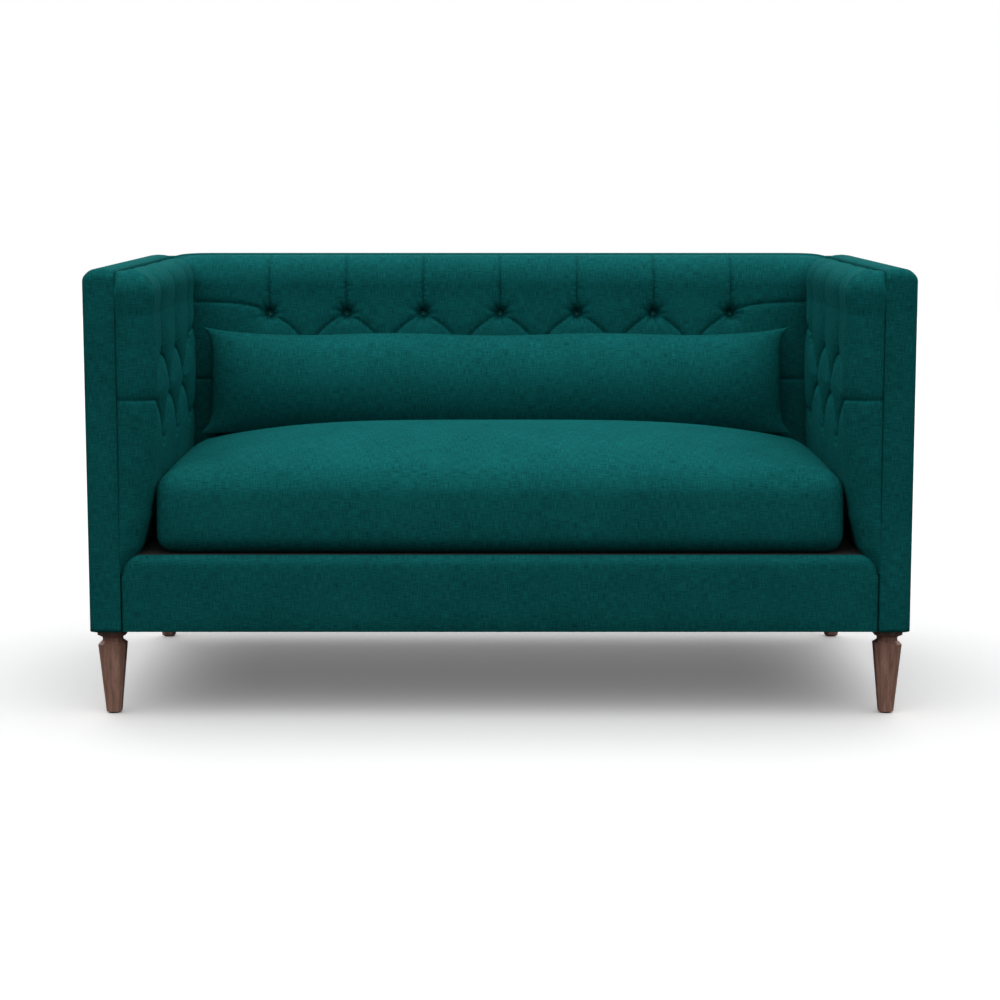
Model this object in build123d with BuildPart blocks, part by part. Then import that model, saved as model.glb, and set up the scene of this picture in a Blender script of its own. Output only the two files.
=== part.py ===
"""Two-seater sofa with button-tufted arms and back, a bench seat cushion and a long lumbar cushion.

Millimetres. +X is the sitter's left to right seen from the front, the front faces -Y and +Z is up.
The origin is on the floor, under the middle of the sofa.
"""

import os
from math import asin, cos, radians, sin, sqrt, tan

from build123d import *

os.makedirs("parts", exist_ok=True)

# Overall size
overall_width = 1500.0
overall_depth = 840.0
overall_height = 818.0
ground_clearance = 160.0

# Upholstery layers: a cover is its cloth with the wadding bonded to it
cover = 6.0
cover_round = 18.0
border_width = 56.0
under_turn = 2.0
dust_cloth = 1.5

# Timber
timber = 28.0
post_depth = 90.0
rail_height = 120.0
top_rail_height = 46.0
tack_rail_height = 40.0
tack_rail_rise = 20.0
brace_width = 60.0
brace_height = 60.0
upright_width = 60.0
upright_spacing = 460.0
corner_block_leg = 80.0
corner_block_height = 60.0
front_rail_setback = 22.0
rear_rail_setback = 12.0

# Wood screws in the corner blocks
screw_diameter = 4.5
screw_head_diameter = 9.0
screw_head_height = 3.0
screw_grip = 30.0
screw_bite = 18.0
screw_inset = 26.0
screw_stagger = 12.0
hole_clearance = 0.1

# Legs
leg_collar = 52.0
leg_neck = 35.0
leg_shoulder = 50.0
leg_foot = 27.0
leg_collar_height = 13.0
leg_collar_bevel = 5.0
leg_neck_height = 7.0
leg_shoulder_bevel = 6.0
leg_corner_share = 0.18
leg_cutout_gap = 2.0
leg_cover_gap = 1.0
bolt_diameter = 8.0
bolt_in_leg = 34.0
bolt_in_frame = 26.0
insert_diameter = 12.0
insert_length = 24.0
glide_diameter = 22.0
glide_height = 3.0
glide_pin_diameter = 3.0
glide_pin_length = 14.0

# Seat suspension
spring_wire = 3.6
spring_width = 52.0
spring_rows = 26
spring_count = 8
spring_end_inset = 14.0
clip_base = 2.0
clip_wall = 2.0
clip_length = 18.0
clip_clearance = 0.2
tie_wire = 3.0
tie_gap = 0.2
tie_spacing = 260.0
felt = 10.4
deck_cloth = 2.0
deck_side_gap = 4.0

# Inside arms and inside back
inner_panel = 4.0
webbing = 2.0
web_width = 50.0
web_lap = 30.0
arm_pad = 59.0
back_pad = 132.0
back_rake = 3.5
pad_drop = 3.0
pad_roll = 40.0
pad_foot_roll = 30.0
arm_foam = 22.0
back_foam = 60.0
foam_margin = 34.0

# Buttons and pleats
back_button_pitch = 160.0
back_rows = (404.0, 324.0, 244.0)
back_row_counts = (7, 6, 7)
arm_button_pitch = 190.0
arm_first_button = 75.0
arm_rows = (364.0, 282.0, 200.0)
arm_row_count = 3
dimple_depth = 26.0
dimple_mouth = 34.0
dimple_floor = 11.0
pleat_depth = 7.0
pleat_half_width = 8.0
pleat_arch = 13.0
cutter_rise = 1.0
button_diameter = 19.0
button_height = 6.0
button_round = 4.0
twine_diameter = 2.0
twine_clearance = 0.3

# Front border under the seat cushion, level with the deck
border_recess = 1.0
border_corner = 37.0
border_round = 10.0
border_cover = 5.0
soft_gap = 0.3

# Seat cushion
seat_side_gap = 2.0
seat_front_recess = 5.0
seat_rear_gap = 20.0
seat_edge_height = 150.0
seat_crown = 61.0
seat_crown_margin = 22.0
seat_draw_in = 3.0
seat_front_round = 44.0
seat_rear_round = 30.0
seat_foot_round = 16.0
seat_cloth = 2.5
seat_wrap = 22.0
seat_station_shares = (-1.0, -0.79, -0.5, 0.0, 0.5, 0.79, 1.0)

# Zip on the back of the seat cushion
zip_length = 960.0
zip_tape_width = 30.0
zip_tape = 1.2
zip_coil_width = 5.0
zip_coil_height = 2.5
zip_height = 70.0
slider_length = 12.0
slider_wall = 1.4
slider_gap = 0.3
slider_rest = 30.0

# Lumbar cushion
lumbar_end_gap = 39.0
lumbar_shift = -11.0
lumbar_height = 204.0
lumbar_front = 70.0
lumbar_rear = 48.0
lumbar_lean = 12.0
lumbar_ear = 8.0
lumbar_sag = 2.0
lumbar_gap = 0.8
lumbar_tip = 4.0
lumbar_cloth = 2.5
lumbar_fullness = 3.0
contact_steps = 24
lumbar_station_shares = (-1.0, -0.93, -0.75, -0.43, 0.0, 0.43, 0.75, 0.93, 1.0)

# Planes and levels that the pieces share
x_out = overall_width / 2
x_frame_out = x_out - cover
x_seam = x_out - border_width
x_frame_in = x_seam + inner_panel
x_pad = x_seam - arm_pad
seat_half_width = x_pad - seat_side_gap
seat_crown_reach = seat_half_width + seat_crown_margin
lumbar_half_length = x_pad - lumbar_end_gap
y_front = -overall_depth / 2
y_back = overall_depth / 2
y_frame_front = y_front + cover
y_frame_back = y_back - cover
y_seam = y_back - border_width
y_back_frame = y_seam + 2 * webbing
y_face = y_seam - back_pad
y_post = y_frame_back - post_depth
z_frame = ground_clearance + under_turn
z_frame_top = overall_height - cover
z_rail_top = z_frame + rail_height
z_spring = z_rail_top + clip_base + spring_wire / 2
z_felt = z_spring + spring_wire / 2
z_deck = z_felt + felt + deck_cloth
z_pad_top = overall_height - pad_drop
y_pad_front = y_front + pad_drop
y_front_rail = (y_front + front_rail_setback, y_front + front_rail_setback + timber)
y_rear_rail = (y_back - rear_rail_setback - timber, y_back - rear_rail_setback)
leg_x = x_frame_out - leg_cover_gap - leg_collar / 2
leg_y = y_frame_back - post_depth / 2
leg_places = {
    "front_left": (-leg_x, -leg_y),
    "front_right": (leg_x, -leg_y),
    "rear_left": (-leg_x, leg_y),
    "rear_right": (leg_x, leg_y),
}
sides = {"left": -1, "right": 1}


def save(piece, label):
    """Name a finished piece and write it out."""
    piece.label = label
    export_step(piece, f"parts/{label}.step")


def block(x, y, z, mode=Mode.ADD):
    """A plain block between two values on each axis, given in any order."""
    middle = tuple((a + b) / 2 for a, b in (x, y, z))
    spans = [abs(b - a) for a, b in (x, y, z)]
    with Locations(middle):
        return Box(*spans, mode=mode)


def edges_at(shape, axis, **place):
    """The edges parallel to an axis whose middles lie at the X, Y or Z asked for."""
    found = shape.edges().filter_by(axis)
    for name, value in place.items():
        found = found.filter_by(lambda edge: abs(getattr(edge.center(), name) - value) < 0.01)
    return found


def on_side(side, x):
    """The x values of a right-hand piece, carried to the side asked for."""
    return tuple(side * value for value in x)


# Legs: turned square with cut corners, a collar, a neck and a long taper
leg_levels = [
    (z_frame, leg_collar),
    (z_frame - leg_collar_height, leg_collar),
    (z_frame - leg_collar_height - leg_collar_bevel, leg_neck),
    (z_frame - leg_collar_height - leg_collar_bevel - leg_neck_height, leg_neck),
]
leg_levels.append((leg_levels[-1][0] - leg_shoulder_bevel, leg_shoulder))
leg_levels.append((glide_height, leg_foot))

for place, (x, y) in leg_places.items():
    with BuildPart() as leg:
        for height, size in leg_levels:
            with BuildSketch(Plane((x, y, height))) as section:
                Rectangle(size, size)
                chamfer(section.vertices(), size * leg_corner_share)
        loft(ruled=True)
        with Locations((x, y, z_frame - bolt_in_leg / 2)):
            Cylinder(bolt_diameter / 2 + hole_clearance, bolt_in_leg, mode=Mode.SUBTRACT)
        with Locations((x, y, glide_height + glide_pin_length / 2)):
            Cylinder(glide_pin_diameter / 2 + hole_clearance, glide_pin_length, mode=Mode.SUBTRACT)
    save(leg.part, f"leg_{place}")

with BuildPart() as leg_glides:
    with Locations(*[(x, y, glide_height / 2) for x, y in leg_places.values()]):
        Cylinder(glide_diameter / 2, glide_height)
    with Locations(*[(x, y, glide_height + glide_pin_length / 2) for x, y in leg_places.values()]):
        Cylinder(glide_pin_diameter / 2, glide_pin_length)
save(leg_glides.part, "leg_glides")

# Hanger bolts in the legs, and the threaded inserts in the posts that take them
with BuildPart() as leg_bolts:
    bolt_middle = z_frame + (bolt_in_frame - bolt_in_leg) / 2
    with Locations(*[(x, y, bolt_middle) for x, y in leg_places.values()]):
        Cylinder(bolt_diameter / 2, bolt_in_leg + bolt_in_frame)
save(leg_bolts.part, "leg_bolts")

with BuildPart() as leg_inserts:
    with Locations(*[(x, y, z_frame + insert_length / 2) for x, y in leg_places.values()]):
        Cylinder(insert_diameter / 2, insert_length)
        Cylinder(bolt_diameter / 2 + hole_clearance, insert_length, mode=Mode.SUBTRACT)
save(leg_inserts.part, "leg_inserts")

# Screws of the corner blocks: one into the front or rear rail, one into the side rail
screws = []
for side in sides.values():
    for end, rail_face in ((-1, y_front_rail[1]), (1, y_rear_rail[0])):
        high = z_frame + corner_block_height / 2 + screw_stagger
        low = z_frame + corner_block_height / 2 - screw_stagger
        along_y = Plane((side * (x_frame_in - screw_inset), rail_face, high), z_dir=(0, end, 0))
        along_x = Plane((side * x_frame_in, rail_face - end * screw_inset, low), z_dir=(side, 0, 0))
        screws += [along_y, along_x]


def drill_screws():
    """Clearance holes for the shanks and pockets for the heads, cut from the open piece."""
    with Locations(*[plane.location for plane in screws]):
        with Locations((0, 0, (screw_bite - screw_grip) / 2)):
            Cylinder(screw_diameter / 2 + hole_clearance, screw_grip + screw_bite, mode=Mode.SUBTRACT)
        with Locations((0, 0, -screw_grip - corner_block_leg / 2)):
            Cylinder(screw_head_diameter / 2 + hole_clearance, corner_block_leg, mode=Mode.SUBTRACT)


# Timber frame: four posts over the legs, rounded where the cover turns over them
for side_name, side in sides.items():
    for end_name, end in {"arm_front_post": -1, "back_post": 1}.items():
        with BuildPart() as post:
            block(
                on_side(side, (x_frame_in, x_frame_out)),
                (end * y_post, end * y_frame_back),
                (z_frame, z_frame_top),
            )
            rounded = edges_at(post, Axis.Y, X=side * x_frame_out, Z=z_frame_top)
            if end < 0:
                rounded += edges_at(post, Axis.X, Y=y_frame_front, Z=z_frame_top)
                rounded += edges_at(post, Axis.Z, X=side * x_frame_out, Y=y_frame_front)
            fillet(rounded, cover_round)
            with Locations((side * leg_x, end * leg_y, z_frame + insert_length / 2)):
                Cylinder(insert_diameter / 2 + hole_clearance, insert_length, mode=Mode.SUBTRACT)
            with Locations((side * leg_x, end * leg_y, z_frame + bolt_in_frame / 2)):
                Cylinder(bolt_diameter / 2 + hole_clearance, bolt_in_frame, mode=Mode.SUBTRACT)
            drill_screws()
        save(post.part, f"{end_name}_{side_name}")

with BuildPart() as front_rail:
    block((-x_frame_in, x_frame_in), y_front_rail, (z_frame, z_rail_top))
    drill_screws()
save(front_rail.part, "front_rail")

with BuildPart() as rear_rail:
    block((-x_frame_in, x_frame_in), y_rear_rail, (z_frame, z_rail_top))
    drill_screws()
save(rear_rail.part, "rear_rail")

with BuildPart() as centre_brace:
    brace_x = (-brace_width / 2, brace_width / 2)
    block(brace_x, (y_front_rail[1], y_rear_rail[0]), (z_frame, z_frame + brace_height))
save(centre_brace.part, "centre_brace")

for side_name, side in sides.items():
    with BuildPart() as side_rail:
        block(on_side(side, (x_frame_in, x_frame_in + timber)), (-y_post, y_post), (z_frame, z_rail_top))
        drill_screws()
    save(side_rail.part, f"side_rail_{side_name}")

    with BuildPart() as arm_top_rail:
        top_rail_z = (z_frame_top - top_rail_height, z_frame_top)
        block(on_side(side, (x_frame_in, x_frame_out)), (-y_post, y_post), top_rail_z)
        fillet(edges_at(arm_top_rail, Axis.Y, X=side * x_frame_out, Z=z_frame_top), cover_round)
    save(arm_top_rail.part, f"arm_top_rail_{side_name}")

    with BuildPart() as arm_tack_rail:
        tack_z = (z_deck + tack_rail_rise, z_deck + tack_rail_rise + tack_rail_height)
        block(on_side(side, (x_frame_in, x_frame_in + timber)), (-y_post, y_post), tack_z)
    save(arm_tack_rail.part, f"arm_tack_rail_{side_name}")

with BuildPart() as back_top_rail:
    block((-x_frame_in, x_frame_in), (y_back_frame, y_frame_back), top_rail_z)
save(back_top_rail.part, "back_top_rail")

with BuildPart() as back_tack_rail:
    block((-x_frame_in, x_frame_in), (y_back_frame, y_back_frame + timber), tack_z)
save(back_tack_rail.part, "back_tack_rail")

with BuildPart() as back_uprights:
    for side in sides.values():
        middle = side * upright_spacing / 2
        block(
            (middle - upright_width / 2, middle + upright_width / 2),
            (y_back_frame, y_back_frame + timber),
            (tack_z[1], top_rail_z[0]),
        )
save(back_uprights.part, "back_uprights")

# Three-cornered glue blocks that brace the seat frame over the legs
with BuildPart() as corner_blocks:
    with BuildSketch(Plane.XY.offset(z_frame)):
        for side in sides.values():
            for end, rail_face in ((-1, y_front_rail[1]), (1, y_rear_rail[0])):
                corner = (side * x_frame_in, rail_face)
                Polygon(
                    corner,
                    (side * (x_frame_in - corner_block_leg), rail_face),
                    (side * x_frame_in, rail_face - end * corner_block_leg),
                    align=None,
                )
    extrude(amount=corner_block_height)
    drill_screws()
save(corner_blocks.part, "corner_blocks")

with BuildPart() as frame_screws:
    with Locations(*[plane.location for plane in screws]):
        with Locations((0, 0, (screw_bite - screw_grip) / 2)):
            Cylinder(screw_diameter / 2, screw_grip + screw_bite)
        with Locations((0, 0, -screw_grip - screw_head_height / 2)):
            Cylinder(screw_head_diameter / 2, screw_head_height)
save(frame_screws.part, "frame_screws")

# Sinuous seat springs: one wire each, run to and fro from the front rail to the rear rail
spring_start = y_front_rail[0] + spring_end_inset
spring_end = y_rear_rail[1] - spring_end_inset
spring_pitch = (spring_end - spring_start) / spring_rows
spring_reach = spring_width / 2 - spring_pitch / 2
spring_spacing = 2 * x_seam / spring_count
spring_places = [(i + 0.5) * spring_spacing - x_seam for i in range(spring_count)]

with BuildPart() as spring:
    with BuildLine(Plane.XY.offset(z_spring)) as wire_path:
        for row in range(spring_rows + 1):
            y = spring_start + row * spring_pitch
            way = 1 if row % 2 == 0 else -1
            Line((-way * spring_reach, y), (way * spring_reach, y))
            if row < spring_rows:
                turn = (way * (spring_reach + spring_pitch / 2), y + spring_pitch / 2)
                ThreePointArc((way * spring_reach, y), turn, (way * spring_reach, y + spring_pitch))
    with BuildSketch(Plane((-spring_reach, spring_start, z_spring), z_dir=(1, 0, 0))):
        Circle(spring_wire / 2)
    sweep(path=wire_path.wire())

with BuildPart() as seat_springs:
    with Locations(*[(x, 0, 0) for x in spring_places]):
        add(spring.part)
save(seat_springs.part, "seat_springs")

with BuildPart() as spring_clips:
    channel = spring_wire + 2 * clip_clearance
    for y in (spring_start, spring_end):
        with Locations(*[(x, y, z_rail_top + (clip_base + spring_wire) / 2) for x in spring_places]):
            Box(clip_length, channel + 2 * clip_wall, clip_base + spring_wire)
        with Locations(*[(x, y, z_spring) for x in spring_places]):
            Box(clip_length, channel, spring_wire, mode=Mode.SUBTRACT)
save(spring_clips.part, "spring_clips")

with BuildPart() as spring_tie_wires:
    tie_height = z_spring - spring_wire / 2 - tie_gap - tie_wire / 2
    tie_places = [(0, -tie_spacing / 2, tie_height), (0, tie_spacing / 2, tie_height)]
    with Locations(*[Plane(place, z_dir=(1, 0, 0)) for place in tie_places]):
        Cylinder(tie_wire / 2, 2 * x_frame_in)
save(spring_tie_wires.part, "spring_tie_wires")

# Seat deck over the springs
deck_x = (-x_seam + deck_side_gap, x_seam - deck_side_gap)
deck_y = (y_front_rail[0], y_seam)
with BuildPart() as seat_felt:
    block(deck_x, deck_y, (z_felt, z_felt + felt))
save(seat_felt.part, "seat_felt")

with BuildPart() as seat_deck_cloth:
    block(deck_x, deck_y, (z_felt + felt, z_deck))
save(seat_deck_cloth.part, "seat_deck_cloth")

# The faces that carry the buttons, with their buttons and pleats in face coordinates
back_plane = Plane(
    (0, y_face, z_deck),
    x_dir=(1, 0, 0),
    z_dir=(0, -cos(radians(back_rake)), sin(radians(back_rake))),
)
arm_plane = Plane((x_pad, 0, z_deck), x_dir=(0, -1, 0), z_dir=(-1, 0, 0))
back_height = z_pad_top - z_deck

back_buttons_at = [
    [((i - (count - 1) / 2) * back_button_pitch, row) for i in range(count)]
    for row, count in zip(back_rows, back_row_counts)
]
arm_half_pitch = arm_first_button + arm_button_pitch / 2
arm_starts = [arm_half_pitch, arm_first_button, arm_half_pitch]
arm_buttons_at = [
    [(-y_front - start - i * arm_button_pitch, row) for i in range(arm_row_count)]
    for row, start in zip(arm_rows, arm_starts)
]


def pleats_of(rows, pitch, left_edge, right_edge, top):
    """Straight pleats to the edges and arched pleats between neighbouring buttons of two rows."""
    straight = [((x, y), (x, top)) for x, y in rows[0]]
    straight += [((x, y), (x, 0)) for x, y in rows[-1]]
    for row in rows:
        low, high = min(row), max(row)
        if low[0] <= min(x for other in rows for x, _ in other) + 1:
            straight.append((low, (left_edge, low[1])))
        if high[0] >= max(x for other in rows for x, _ in other) - 1:
            straight.append((high, (right_edge, high[1])))
    arched = []
    for upper, lower in zip(rows, rows[1:]):
        arched += [(a, b) for a in upper for b in lower if abs(a[0] - b[0]) < 0.6 * pitch]
    return straight, arched


def tuft(plane, rows, pleats, twine_length):
    """Cut pleats, button dimples and twine holes into the open pad."""
    profile = [(-pleat_depth, 0), (cutter_rise, pleat_half_width), (cutter_rise, -pleat_half_width)]
    straight, arched = pleats
    for start, end in straight + arched:
        bend = pleat_arch if (start, end) in arched else 0
        with BuildLine(plane, mode=Mode.PRIVATE) as course:
            if bend:
                middle = ((start[0] + end[0]) / 2, (start[1] + end[1]) / 2)
                out = 1 if end[0] > start[0] else -1
                run = sqrt((end[0] - start[0]) ** 2 + (end[1] - start[1]) ** 2)
                crest = (
                    middle[0] + out * bend * (start[1] - end[1]) / run,
                    middle[1] + bend * abs(end[0] - start[0]) / run,
                )
                ThreePointArc(start, crest, end)
            else:
                Line(start, end)
        with BuildSketch(Plane(course.line @ 0, x_dir=plane.z_dir, z_dir=course.line % 0)) as groove:
            Polygon(*profile, align=None)
        sweep(groove.sketch, path=course.wire(), mode=Mode.SUBTRACT)
    points = [point for row in rows for point in row]
    slope = (dimple_mouth - dimple_floor) / dimple_depth
    with Locations(plane.location):
        with Locations(*[(x, y, (cutter_rise - dimple_depth) / 2) for x, y in points]):
            Cone(
                dimple_floor,
                dimple_mouth + slope * cutter_rise,
                dimple_depth + cutter_rise,
                mode=Mode.SUBTRACT,
            )
        drill_twine(points, twine_length)


def drill_twine(points, length):
    """Holes for the button twines, in face coordinates."""
    with Locations(*[(x, y, -length / 2) for x, y in points]):
        Cylinder(twine_diameter / 2 + twine_clearance, length, mode=Mode.SUBTRACT)


def button_set(plane, rows):
    """Domed buttons that sit on the floors of their dimples."""
    points = [point for row in rows for point in row]
    with Locations(plane.location):
        with Locations(*[(x, y, button_height / 2 - dimple_depth) for x, y in points]):
            Cylinder(button_diameter / 2, button_height)
    level = button_height - dimple_depth
    rims = edges().filter_by(GeomType.CIRCLE)
    tops = [rim for rim in rims if abs(plane.to_local_coords(rim.center()).Z - level) < 0.01]
    fillet(tops, button_round)


# Tufted inside back, its foam and what carries it
foam_z = (z_deck + foam_margin, z_pad_top - foam_margin)
back_foam_x = (-x_pad + foam_margin, x_pad - foam_margin)
back_twine = y_seam + webbing - y_face
with BuildPart() as inside_back_cover:
    with BuildSketch(Plane.XY.offset(z_deck)):
        Polygon((-x_seam, y_seam), (-x_pad, y_face), (x_pad, y_face), (x_seam, y_seam), align=None)
    extrude(amount=back_height)
    split(bisect_by=back_plane, keep=Keep.BOTTOM)
    top_front = inside_back_cover.edges().filter_by(Axis.X).group_by(Axis.Z)[-1].sort_by(Axis.Y)[0]
    fillet(top_front, pad_roll)
    block(back_foam_x, (y_seam - back_foam, y_seam), foam_z, mode=Mode.SUBTRACT)
    back_pleats = pleats_of(back_buttons_at, back_button_pitch, -x_pad, x_pad, back_height)
    tuft(back_plane, back_buttons_at, back_pleats, back_twine)
save(inside_back_cover.part, "inside_back_cover")

with BuildPart() as back_foam_slab:
    block(back_foam_x, (y_seam - back_foam, y_seam), foam_z)
    with Locations(back_plane.location):
        drill_twine(sum(back_buttons_at, []), 2 * back_pad)
save(back_foam_slab.part, "back_foam")

with BuildPart() as back_hessian:
    block((-x_seam, x_seam), (y_seam, y_seam + webbing), (z_deck, z_frame_top))
    with Locations(back_plane.location):
        drill_twine(sum(back_buttons_at, []), 2 * back_pad)
save(back_hessian.part, "back_hessian")

with BuildPart() as back_webbing:
    web_count = back_row_counts[0] + 1
    web_z = (tack_z[1] - web_lap, top_rail_z[0] + web_lap)
    for i in range(web_count):
        middle = (i - (web_count - 1) / 2) * back_button_pitch
        middle += back_button_pitch / 4 if middle < 0 else -back_button_pitch / 4
        block((middle - web_width / 2, middle + web_width / 2), (y_seam + webbing, y_back_frame), web_z)
save(back_webbing.part, "back_webbing")

with BuildPart() as back_buttons:
    button_set(back_plane, back_buttons_at)
save(back_buttons.part, "back_buttons")

with BuildPart() as back_button_twines:
    for x, height in sum(back_buttons_at, []):
        seat = back_plane.from_local_coords(Vector(x, height, -dimple_depth))
        far = y_seam + webbing
        reach = (far - seat.Y) / cos(radians(back_rake))
        with Locations(back_plane.location):
            with Locations((x, height, -dimple_depth - reach / 2)):
                Cylinder(twine_diameter / 2, reach)
save(back_button_twines.part, "back_button_twines")

# Tufted inside arms: the right one is drawn and the left one mirrored from it
arm_pleats = pleats_of(arm_buttons_at, arm_button_pitch, -y_face, -y_pad_front, back_height)
arm_foam_y = (y_pad_front + foam_margin, y_face - foam_margin)
with BuildPart() as right_arm_pad:
    with BuildSketch(Plane.XY.offset(z_deck)):
        Polygon((x_pad, y_pad_front), (x_seam, y_pad_front), (x_seam, y_seam), (x_pad, y_face), align=None)
    extrude(amount=back_height)
    rolls = edges_at(right_arm_pad, Axis.Y, X=x_pad, Z=z_pad_top)
    rolls += edges_at(right_arm_pad, Axis.Z, X=x_pad, Y=y_pad_front)
    fillet(rolls, pad_roll)
    fillet(edges_at(right_arm_pad, Axis.Y, X=x_pad, Z=z_deck), pad_foot_roll)
    block((x_seam - arm_foam, x_seam), arm_foam_y, foam_z, mode=Mode.SUBTRACT)
    tuft(arm_plane, arm_buttons_at, arm_pleats, arm_pad)

with BuildPart() as right_arm_foam:
    block((x_seam - arm_foam, x_seam), arm_foam_y, foam_z)
    with Locations(arm_plane.location):
        drill_twine(sum(arm_buttons_at, []), 2 * arm_pad)

with BuildPart() as right_inner_panel:
    block((x_seam, x_frame_in), (y_frame_front, y_seam), (z_deck, z_frame_top))
    fillet(edges_at(right_inner_panel, Axis.X, Y=y_frame_front, Z=z_frame_top), cover_round)
    with Locations(arm_plane.location):
        drill_twine(sum(arm_buttons_at, []), 2 * arm_pad)

with BuildPart() as right_arm_buttons:
    button_set(arm_plane, arm_buttons_at)

with BuildPart() as right_arm_twines:
    arm_reach = arm_pad + inner_panel - dimple_depth
    with Locations(arm_plane.location):
        with Locations(*[(x, y, -dimple_depth - arm_reach / 2) for x, y in sum(arm_buttons_at, [])]):
            Cylinder(twine_diameter / 2, arm_reach)

right_pieces = {
    "inside_arm_cover": right_arm_pad,
    "arm_foam": right_arm_foam,
    "arm_inner_panel": right_inner_panel,
    "arm_buttons": right_arm_buttons,
}
for name, right_piece in right_pieces.items():
    with BuildPart() as left_piece:
        mirror(right_piece.part, about=Plane.YZ)
    save(left_piece.part, f"{name}_left")
    save(right_piece.part, f"{name}_right")

with BuildPart() as arm_button_twines:
    add(right_arm_twines.part)
    mirror(right_arm_twines.part, about=Plane.YZ)
save(arm_button_twines.part, "arm_button_twines")

# Outer covers: each arm is wrapped over its front, top and outside in one piece
for side_name, side in sides.items():
    with BuildPart() as outer_arm_cover:
        block(on_side(side, (x_seam, x_out)), (y_front, y_frame_back), (ground_clearance, overall_height))
        rounded = edges_at(outer_arm_cover, Axis.Y, X=side * x_out, Z=overall_height)
        rounded += edges_at(outer_arm_cover, Axis.X, Y=y_front, Z=overall_height)
        rounded += edges_at(outer_arm_cover, Axis.Z, X=side * x_out, Y=y_front)
        fillet(rounded, cover_round)
        open_faces = [
            outer_arm_cover.faces().sort_by(Axis.Z)[0],
            outer_arm_cover.faces().sort_by(Axis.Y)[-1],
            outer_arm_cover.faces().sort_by(Axis.X)[0 if side > 0 else -1],
        ]
        offset(amount=-cover, openings=open_faces)
    save(outer_arm_cover.part, f"outer_arm_cover_{side_name}")

with BuildPart() as outside_back_cover:
    with BuildSketch(Plane.XZ.offset(-y_back)) as back_outline:
        with Locations((0, (ground_clearance + overall_height) / 2)):
            Rectangle(overall_width, overall_height - ground_clearance)
        fillet(back_outline.vertices().group_by(Axis.Y)[-1], cover_round)
    extrude(amount=cover)
save(outside_back_cover.part, "outside_back_cover")

with BuildPart() as back_top_band:
    block((-x_seam, x_seam), (y_seam, y_frame_back), (z_frame_top, overall_height))
save(back_top_band.part, "back_top_band")

# Front border under the seat cushion: a soft padded panel with rounded upper corners
y_border = y_front + border_recess


def border_panel(inset, round_over):
    """The border's block, drawn in by a layer on its top, ends and front."""
    with BuildSketch(Plane.XZ.offset(-y_front_rail[0])) as outline:
        with Locations((0, (ground_clearance + z_deck - inset) / 2)):
            Rectangle(2 * (x_seam - inset), z_deck - inset - ground_clearance)
        fillet(outline.vertices().group_by(Axis.Y)[-1], border_corner - inset)
    extrude(outline.sketch, amount=y_front_rail[0] - y_border - inset)
    front = faces().sort_by(Axis.Y)[0]
    fillet(front.edges().sort_by(Axis.Z)[1:], round_over)


with BuildPart() as front_border_cover:
    border_panel(0, border_round)
    under = front_border_cover.faces().sort_by(Axis.Z)[0]
    behind = front_border_cover.faces().sort_by(Axis.Y)[-1]
    offset(amount=-border_cover, openings=[under, behind])
save(front_border_cover.part, "front_border_cover")

with BuildPart() as front_border_foam:
    border_panel(border_cover + soft_gap, border_round - border_cover + soft_gap)
save(front_border_foam.part, "front_border_foam")

# Dust cover under the frame, notched round the legs
with BuildPart() as dust_cover:
    dust_z = (z_frame - dust_cloth, z_frame)
    block((-x_frame_out, x_frame_out), (y_front_rail[0], y_frame_back), dust_z)
    for x, y in leg_places.values():
        inner_x = abs(x) - leg_collar / 2 - leg_cutout_gap
        inner_y = abs(y) - leg_collar / 2 - leg_cutout_gap
        notch_x = (inner_x, x_out) if x > 0 else (-x_out, -inner_x)
        notch_y = (inner_y, y_back) if y > 0 else (y_front, -inner_y)
        block(notch_x, notch_y, dust_z, mode=Mode.SUBTRACT)
save(dust_cover.part, "dust_cover")

# Seat cushion: a crowned bench cushion lofted from end to end
seat_floor = z_deck + soft_gap
seat_front = y_front + seat_front_recess
seat_rear = y_face - seat_rear_gap


def seat_crown_at(x):
    """Height of the crown above the cushion's edge, at a distance from the middle."""
    return seat_crown * (1 - (abs(x) / seat_crown_reach) ** 4)


def seat_top_at(y):
    """Height of the cushion's top along its middle line."""
    half = (seat_rear - seat_front) / 2
    radius = (half**2 + seat_crown**2) / (2 * seat_crown)
    centre = seat_floor + seat_edge_height + seat_crown - radius
    return centre + sqrt(radius**2 - (y - (seat_rear + seat_front) / 2) ** 2)


def seat_body(inset):
    """The cushion's form, drawn in all round by the layers outside it."""
    sections = []
    for share in seat_station_shares:
        x = share * (seat_half_width - inset)
        low = seat_floor + inset
        edge = seat_floor + seat_edge_height - inset
        front = seat_front + inset + seat_draw_in * (1 - share**2)
        rear = seat_rear - inset
        with BuildSketch(Plane.YZ.offset(x)) as section:
            with BuildLine():
                Polyline((front, edge), (front, low), (rear, low), (rear, edge))
                ThreePointArc((rear, edge), ((front + rear) / 2, edge + seat_crown_at(x)), (front, edge))
            make_face()
            fillet(section.vertices().group_by(Axis.X)[0].sort_by(Axis.Y)[-1:], seat_front_round)
            fillet(section.vertices().group_by(Axis.X)[-1].sort_by(Axis.Y)[-1:], seat_rear_round)
            fillet(section.vertices().group_by(Axis.Y)[0], seat_foot_round)
        sections.append(section.sketch)
    loft(sections)


with BuildPart() as seat_outer:
    seat_body(0)
with BuildPart() as seat_inner:
    seat_body(seat_cloth)
with BuildPart() as seat_wrap_outer:
    seat_body(seat_cloth + soft_gap)
with BuildPart() as seat_wrap_inner:
    seat_body(seat_cloth + seat_wrap)
with BuildPart() as seat_core:
    seat_body(seat_cloth + seat_wrap + soft_gap)

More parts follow.
